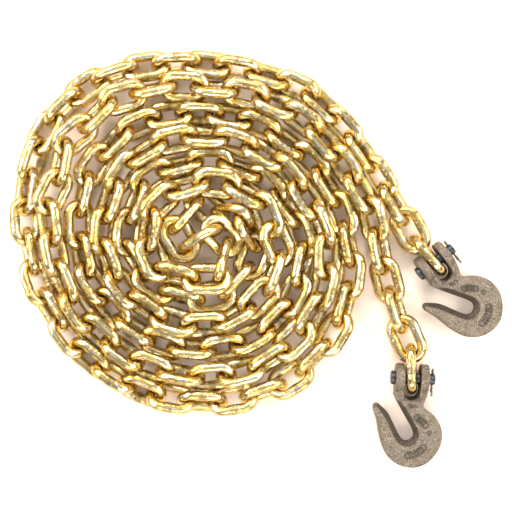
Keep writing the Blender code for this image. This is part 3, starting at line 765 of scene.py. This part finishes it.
def shaded_places(p):
    """How far points (mm) lie in the throat or the clevis, where the colour is darkened as painted shade: 0
    to 1.
    """
    throat = smooth(np.array(THROAT), 4)
    near = np.linalg.norm(p[:, None, :2] - throat[None], axis=2).min(1)
    flare, top = THROAT_FLARE / MM, BODY_THICKNESS / MM / 2
    in_throat = ramp((flare + 1.2 - near) / 0.8) * ramp((top - 0.35 - np.abs(p[:, 2])) / 0.5)
    half, depth = SLOT_HALF / MM, SLOT_DEPTH / MM
    in_slot = ramp((half + 0.7 - np.abs(p[:, 0])) / 0.6) * ramp(p[:, 1] + depth + 1.5)
    return np.maximum(in_throat * (p[:, 1] < BODY_TOP / MM), in_slot)


def forge_mesh():
    """The hook as a forging, in its own frame, with soft corners and raised marks."""
    outside = smooth(np.array(HOOK_OUTSIDE) * MM, 4)
    hook = outline_solid("hook", outside, BODY_THICKNESS / 2, 3.0 * MM, 4)
    clevis = rounded_disc("clevis", (-CLEVIS_HALF, CLEVIS_HALF), EAR_RADIUS, 2.2 * MM, 64)
    neck = rounded_disc("neck", (-14 * MM, 12.5 * MM), 10.6 * MM, 5 * MM, 48)
    neck.location = (NECK_X, -14.5 * MM, 0)
    shoulder = rounded_disc("shoulder", (-12 * MM, 11 * MM), 9.4 * MM, 5 * MM, 48)
    shoulder.location = (NECK_X, -19.5 * MM, 0)
    combine(hook, [clevis, neck, shoulder], "UNION")
    bore = cylinder("bore", 30 * MM, PIN_RADIUS + PIN_CLEARANCE, 48)
    combine(hook, [slot_cutter(), throat_cutter(), bore], "DIFFERENCE")
    remesh = hook.modifiers.new("Forge", "REMESH")
    remesh.mode = "VOXEL"
    remesh.voxel_size = FORGE_VOXEL
    soften = hook.modifiers.new("Soften", "SMOOTH")
    soften.factor = 0.5
    soften.iterations = FORGE_SMOOTHING
    mesh = evaluated_mesh(hook)
    bpy.data.objects.remove(hook)
    points = np.empty(len(mesh.vertices) * 3, np.float32)
    mesh.vertices.foreach_get("co", points)
    points = points.reshape(-1, 3).astype(float)
    flat = ramp((np.abs(points[:, 2]) - (BODY_THICKNESS / 2 - 0.6 * MM)) / (0.4 * MM))
    flat = flat * (points[:, 1] < BODY_TOP)
    marks = raised_marks(points[:, :2] / MM) * flat
    # Painted shade: rims round the raised marks, to be darkened in the colour
    rims = raised_marks(points[:, :2] / MM, MARK_SHADE_RIM) * flat
    # Painted shade: how far each point lies in the throat or the clevis slot, where the colour is darkened
    recess_shade = shaded_places(points / MM)
    points[:, 2] += np.sign(points[:, 2]) * MARK_HEIGHT * marks
    mesh.vertices.foreach_set("co", points.ravel().astype(np.float32))
    for name, values in (("mark_shade_rim", rims * (1 - 0.8 * marks)), ("recess_shade", recess_shade)):
        attribute = mesh.attributes.new(name, "FLOAT", "POINT")
        attribute.data.foreach_set("value", values.astype(np.float32))
    mesh.shade_smooth()
    return mesh


def pin_mesh():
    """Clevis pin: domed head at -X, chamfered end at +X, and the cotter's hole across it."""
    left = -CLEVIS_HALF - PIN_CLEARANCE
    right = CLEVIS_HALF + PIN_STICKOUT
    head = left - HEAD_LENGTH
    a = np.linspace(0, 1, 8) * 0.98
    dome = list(zip(head + DOME * (1 - np.sqrt(1 - a * a)), (HEAD_RADIUS - DOME) * a))
    a = np.linspace(0.15, np.pi / 2, 5)
    rim_x = head + 2 * HEAD_RIM - HEAD_RIM * np.cos(a)
    rim = list(zip(rim_x, HEAD_RADIUS - HEAD_RIM * (1 - np.sin(a))))
    under = [(left - 0.4 * MM, HEAD_RADIUS), (left, HEAD_RADIUS - 0.4 * MM), (left, PIN_RADIUS)]
    tip = [(1.1 * MM, 0), (0.3 * MM, 0.6 * MM), (0, 1.2 * MM)]
    tip = [(right - back, PIN_RADIUS - inward) for back, inward in tip]
    shank = [(x, PIN_RADIUS) for x in np.linspace(left + 0.4 * MM, right - 1.5 * MM, 12)]
    pin = turned("pin", dome + rim + under + shank + tip + [(right, 0)], 64)
    hole = cylinder("hole", 12 * MM, COTTER_HOLE, 32)
    hole.rotation_euler = (0, 0, np.radians(90))
    hole.location = (COTTER_X, 0, 0)
    combine(pin, [hole], "DIFFERENCE")
    mesh = pin.data
    bpy.data.objects.remove(pin)
    mesh.shade_smooth()
    mesh.set_sharp_from_angle(angle=np.radians(35))
    return mesh


def cotter_mesh():
    """Split pin of round wire: an eye at +Y, and two legs spread at -Y, one longer than the other."""
    apart = COTTER_WIRE + 0.1 * MM
    t = np.radians(np.arange(35, 326, 12))
    eye = np.column_stack([EYE_RADIUS * np.sin(t), EYE_HEIGHT - EYE_RADIUS * np.cos(t)])
    long_leg, short_leg = (np.array(leg) * (apart, MM) for leg in COTTER_LEGS)
    line = smooth(np.vstack([long_leg[::-1], eye, short_leg]), 4)
    ahead = unit(np.gradient(line, axis=0))
    side = np.column_stack([ahead[:, 1], -ahead[:, 0]])
    phase = np.linspace(0, 2 * np.pi, 14, endpoint=False)
    rings = []
    for point, out in zip(line, side):
        z, y = point[:, None] + COTTER_WIRE * np.cos(phase) * out[:, None]
        rings.append(np.column_stack([COTTER_X + COTTER_WIRE * np.sin(phase), y, z]))
    mesh = loft("cotter", rings)
    mesh.shade_smooth()
    return mesh


def make_ends(frame, materials):
    """Hook, pin and cotter of both ends."""
    forged, steel, bright = materials
    for base, body, node, slot, material in (
        (forge_mesh(), "hook_{}", "hook_{}", "forged_steel", forged),
        (pin_mesh(), "pin_{}", "clevis_pin_{}", "pin_steel", steel),
        (cotter_mesh(), "pin_{}", "cotter_pin_{}", "cotter_steel", bright),
    ):
        for letter in "ab":
            mesh = base.copy()
            mesh.transform(hook_matrix(frame, letter))
            mesh.materials.clear()
            mesh.materials.append(material)
            piece = add_object(f"finished_{node.format(letter)}", mesh)
            place(piece, body.format(letter), node.format(letter))


# ---------------------------------------------------------------- materials


class Nodes:
    """Short way to add and wire the shader nodes of a material or the world."""

    def __init__(self, owner):
        owner.use_nodes = True
        self.owner = owner
        self.tree = owner.node_tree

    def add(self, kind, settings=(), **inputs):
        node = self.tree.nodes.new(kind)
        for key, value in dict(settings).items():
            setattr(node, key, value)
        for key, value in inputs.items():
            self.feed(node, key.replace("_", " "), value)
        return node

    def feed(self, node, name, value):
        socket = node.inputs[name]
        if isinstance(value, bpy.types.NodeSocket):
            self.tree.links.new(value, socket)
        else:
            socket.default_value = value

    def object_point(self):
        return self.add("ShaderNodeTexCoord").outputs["Object"]

    def attribute(self, name):
        return self.add("ShaderNodeAttribute", {"attribute_name": name}).outputs["Fac"]

    def stretched(self, uv, along, around):
        """The wire's UV, scaled unlike along the wire and around it."""
        return self.add("ShaderNodeMapping", Vector=uv, Scale=(along, around, 1.0)).outputs["Vector"]

    def noise(self, vector, scale, detail=3.0, roughness=0.55):
        node = self.add("ShaderNodeTexNoise", Vector=vector, Scale=scale, Detail=detail, Roughness=roughness)
        return node.outputs["Fac"]

    def spread(self, value, low, high, to_low=0.0, to_high=1.0):
        node = self.add("ShaderNodeMapRange")
        self.feed(node, "Value", value)
        for key, number in (("From Min", low), ("From Max", high), ("To Min", to_low), ("To Max", to_high)):
            node.inputs[key].default_value = number
        return node.outputs["Result"]

    def mix(self, share, first, second):
        node = self.add("ShaderNodeMix", {"data_type": "RGBA"})
        self.feed(node, "Factor", share)
        for index, value in ((6, first), (7, second)):
            if isinstance(value, bpy.types.NodeSocket):
                self.tree.links.new(value, node.inputs[index])
            else:
                node.inputs[index].default_value = (*value, 1)
        return node.outputs[2]

    def math(self, operation, first, second):
        node = self.add("ShaderNodeMath", {"operation": operation})
        for index, value in enumerate((first, second)):
            if isinstance(value, bpy.types.NodeSocket):
                self.tree.links.new(value, node.inputs[index])
            else:
                node.inputs[index].default_value = value
        return node.outputs[0]

    def bump(self, height, distance, strength=1.0, under=None):
        node = self.add("ShaderNodeBump", Height=height, Distance=distance, Strength=strength)
        if under is not None:
            self.feed(node, "Normal", under)
        return node.outputs["Normal"]

    def finish(self, **inputs):
        """Feeds the material's main shader and returns the material."""
        shader = self.tree.nodes["Principled BSDF"]
        for key, value in inputs.items():
            self.feed(shader, key.replace("_", " "), value)
        return self.owner


def yellow_zinc():
    """Bright yellow chromate over zinc: pale gold with greenish and rosy drifts, and darker welds."""
    n = Nodes(bpy.data.materials.new("yellow_zinc"))
    point = n.object_point()
    uv = n.add("ShaderNodeUVMap", {"uv_map": "wire"}).outputs["UV"]
    drawn = n.stretched(uv, 45.0, 1100.0)
    tone = n.attribute("tone")
    weld = n.attribute("weld")
    drift = n.noise(point, 55.0, 2.0)
    film = n.noise(point, 230.0, 3.0)
    fine = n.noise(point, 1300.0, 3.0, 0.65)
    lines = n.noise(drawn, 1.0, 3.0)
    bands = n.noise(n.stretched(uv, 38.0, 260.0), 1.0, 2.0)
    gold = n.mix(n.spread(drift, 0.35, 0.65), (0.67, 0.495, 0.17), (0.66, 0.54, 0.23))
    gold = n.mix(n.spread(tone, 0.0, 1.0, 0.0, 0.6), gold, (0.69, 0.46, 0.12))
    green = n.spread(film, 0.54, 0.7, 0.0, 0.6)
    gold = n.mix(green, gold, (0.54, 0.52, 0.08))
    rose = n.spread(film, 0.44, 0.3, 0.0, 0.6)
    gold = n.mix(rose, gold, (0.7, 0.4, 0.2))
    gold = n.mix(n.spread(bands, 0.46, 0.58, 0.0, 0.85), gold, (0.62, 0.595, 0.5))
    streak = n.spread(lines, 0.52, 0.62, 0.0, 0.85)
    gold = n.mix(streak, gold, (0.42, 0.27, 0.06))
    scorch = n.math("MULTIPLY", weld, n.spread(film, 0.35, 0.7, 0.3, 0.95))
    gold = n.mix(scorch, gold, (0.2, 0.15, 0.07))
    dirt = n.spread(fine, 0.6, 0.74, 0.0, 0.6)
    gold = n.mix(dirt, gold, (0.21, 0.12, 0.02))
    rough = n.spread(film, 0.3, 0.7, 0.09, 0.2)
    rough = n.math("ADD", rough, n.math("MULTIPLY", weld, 0.15))
    grain = n.bump(lines, 0.0004, 0.9)
    grain = n.bump(film, 0.0008, 0.4, grain)
    grain = n.bump(fine, 0.00008, 0.6, grain)
    glint = (1.0, 0.78, 0.42, 1.0)
    return n.finish(Base_Color=gold, Metallic=1.0, Roughness=rough, Normal=grain, Specular_Tint=glint)


def forged_steel():
    """Bare forging: brown-grey scale, speckled, with paler rubbed grains, painted shade as dark lines round
    its marks, and painted shade in the throat and clevis slot.
    """
    n = Nodes(bpy.data.materials.new("forged_steel"))
    point = n.object_point()
    edge = n.attribute("mark_shade_rim")
    recess_shade = n.attribute("recess_shade")
    blotch = n.noise(point, 110.0, 3.0)
    speck = n.noise(point, 1100.0, 3.0, 0.65)
    pit = n.noise(point, 480.0, 4.0, 0.6)
    colour = n.mix(n.spread(blotch, 0.35, 0.65), (0.13, 0.1, 0.07), (0.195, 0.157, 0.117))
    colour = n.mix(n.spread(speck, 0.53, 0.68, 0.0, 0.85), colour, (0.5, 0.455, 0.39))
    colour = n.mix(n.spread(speck, 0.48, 0.32, 0.0, 0.95), colour, (0.022, 0.017, 0.012))
    rust = n.spread(n.noise(point, 260.0, 3.0), 0.56, 0.72, 0.0, 0.5)
    colour = n.mix(rust, colour, (0.15, 0.078, 0.04))
    # Painted shade darkens the colour in the throat and the clevis slot
    colour = n.mix(n.math("MULTIPLY", recess_shade, 0.6), colour, (0.035, 0.027, 0.02))
    # Painted shade: nearly black rims round the raised marks
    colour = n.mix(n.math("MULTIPLY", edge, 0.97), colour, (0.01, 0.008, 0.006))
    rough = n.spread(pit, 0.3, 0.7, 0.36, 0.58)
    grain = n.bump(pit, 0.0011, 0.8)
    grain = n.bump(speck, 0.0005, 0.7, grain)
    return n.finish(Base_Color=colour, Metallic=0.6, Roughness=rough, Normal=grain)


def dark_steel():
    """The pin: dark blue-grey steel with scuffs."""
    n = Nodes(bpy.data.materials.new("pin_steel"))
    point = n.object_point()
    scuff = n.noise(point, 700.0, 4.0, 0.7)
    colour = n.mix(n.spread(scuff, 0.4, 0.65), (0.035, 0.036, 0.04), (0.13, 0.135, 0.145))
    rough = n.spread(scuff, 0.3, 0.7, 0.28, 0.5)
    return n.finish(Base_Color=colour, Metallic=0.9, Roughness=rough, Normal=n.bump(scuff, 0.0003, 0.6))


def wire_steel():
    """The cotter: plain grey wire, slightly stained."""
    n = Nodes(bpy.data.materials.new("cotter_steel"))
    point = n.object_point()
    stain = n.noise(point, 800.0, 3.0)
    colour = n.mix(n.spread(stain, 0.4, 0.65), (0.12, 0.117, 0.112), (0.32, 0.31, 0.3))
    rough = n.spread(stain, 0.3, 0.7, 0.28, 0.45)
    return n.finish(Base_Color=colour, Metallic=1.0, Roughness=rough, Normal=n.bump(stain, 0.0001, 0.5))


def floor_material():
    """Pale warm paper."""
    n = Nodes(bpy.data.materials.new("floor"))
    point = n.object_point()
    tint = n.mix(n.noise(point, 3.0), (0.95, 0.82, 0.71), (0.965, 0.835, 0.725))
    return n.finish(Base_Color=tint, Roughness=0.8)


# ---------------------------------------------------------------- floor, light and camera

VIEW_WIDTH = 0.504
VIEW_CENTRE = (-0.001, 0.0025)
VIEW_LEVEL = 0.02
CAMERA_LENS = 85.0
SENSOR_WIDTH = 36.0
FLOOR_RADIUS = 2.6
FLOOR_HEIGHT = -0.0004
# Brightness of the tent against height: 0 at the horizon, 1 straight up
SKY = ((0.0, 0.5), (0.14, 0.42), (0.34, 0.18), (0.55, 0.14), (0.8, 0.2), (0.93, 0.5), (1.0, 0.62))
SKY_LEVEL = 1.9
SKY_COLOURS = ((1.0, 0.965, 0.91), (0.92, 0.97, 1.08))
SKY_TOP_POWER = 6.0
SOFT_BOX = (1.5, 0.36)
SOFT_BOX_COLOUR = (1.0, 0.95, 0.88)
SOFT_BOXES = {
    "left": ((-1.15, 0.25, 1.1), 26),
    "right": ((1.2, 0.1, 1.0), 22),
    "back": ((-0.1, 1.2, 1.1), 26),
    "front": ((0.2, -1.2, 1.0), 18),
}


def make_floor():
    """A round pale floor, a little below the chain."""
    bm = bmesh.new()
    bmesh.ops.create_circle(bm, cap_ends=True, segments=192, radius=FLOOR_RADIUS)
    mesh = bpy.data.meshes.new("floor")
    bm.to_mesh(mesh)
    bm.free()
    mesh.materials.append(floor_material())
    floor = add_object("floor", mesh)
    floor.location = (0, 0, FLOOR_HEIGHT)


def soft_box(name, location, power):
    """A long warm soft box, turned to the middle of the floor."""
    data = bpy.data.lights.new(name, "AREA")
    data.shape = "RECTANGLE"
    data.size, data.size_y = SOFT_BOX
    data.energy = power
    data.color = SOFT_BOX_COLOUR
    light = add_object(name, data)
    light.location = location
    light.rotation_euler = (-Vector(location)).to_track_quat("-Z", "Y").to_euler()


def make_light():
    """A tent with bright walls, a dim slope and a bright top, and four long soft boxes round the object."""
    world = bpy.data.worlds.new("studio")
    bpy.context.scene.world = world
    n = Nodes(world)
    direction = n.add("ShaderNodeTexCoord").outputs["Generated"]
    height = n.add("ShaderNodeSeparateXYZ", Vector=direction).outputs["Z"]
    brightness = n.add("ShaderNodeFloatCurve", Value=height)
    curve = brightness.mapping.curves[0]
    while len(curve.points) < len(SKY):
        curve.points.new(0.5, 0.5)
    for spot, location in zip(curve.points, SKY):
        spot.location = location
    brightness.mapping.update()
    colour = n.mix(n.math("POWER", height, SKY_TOP_POWER), *SKY_COLOURS)
    strength = n.math("MULTIPLY", brightness.outputs["Value"], SKY_LEVEL)
    background = n.tree.nodes["Background"]
    n.feed(background, "Color", colour)
    n.feed(background, "Strength", strength)
    for name, (location, power) in SOFT_BOXES.items():
        soft_box(name, location, power)


def make_camera():
    """A camera that looks straight down and is VIEW_WIDTH wide at VIEW_LEVEL."""
    data = bpy.data.cameras.new("camera")
    data.lens = CAMERA_LENS
    data.sensor_width = SENSOR_WIDTH
    camera = add_object("camera", data)
    camera.location = (*VIEW_CENTRE, VIEW_WIDTH * CAMERA_LENS / SENSOR_WIDTH + VIEW_LEVEL)
    bpy.context.scene.camera = camera


# ---------------------------------------------------------------- the whole scene

bpy.context.scene.view_settings.view_transform = "Standard"
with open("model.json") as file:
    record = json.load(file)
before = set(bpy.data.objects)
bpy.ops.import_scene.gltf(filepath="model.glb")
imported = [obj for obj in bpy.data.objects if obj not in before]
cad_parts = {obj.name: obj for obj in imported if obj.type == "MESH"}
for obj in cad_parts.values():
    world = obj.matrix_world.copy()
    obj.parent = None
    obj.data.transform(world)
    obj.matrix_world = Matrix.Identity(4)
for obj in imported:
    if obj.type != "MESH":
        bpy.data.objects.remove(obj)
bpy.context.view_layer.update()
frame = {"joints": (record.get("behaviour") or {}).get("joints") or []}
make_camera()
make_light()
make_floor()
make_chain(yellow_zinc(), layout_in_frame(frame))
make_ends(frame, (forged_steel(), dark_steel(), wire_steel()))
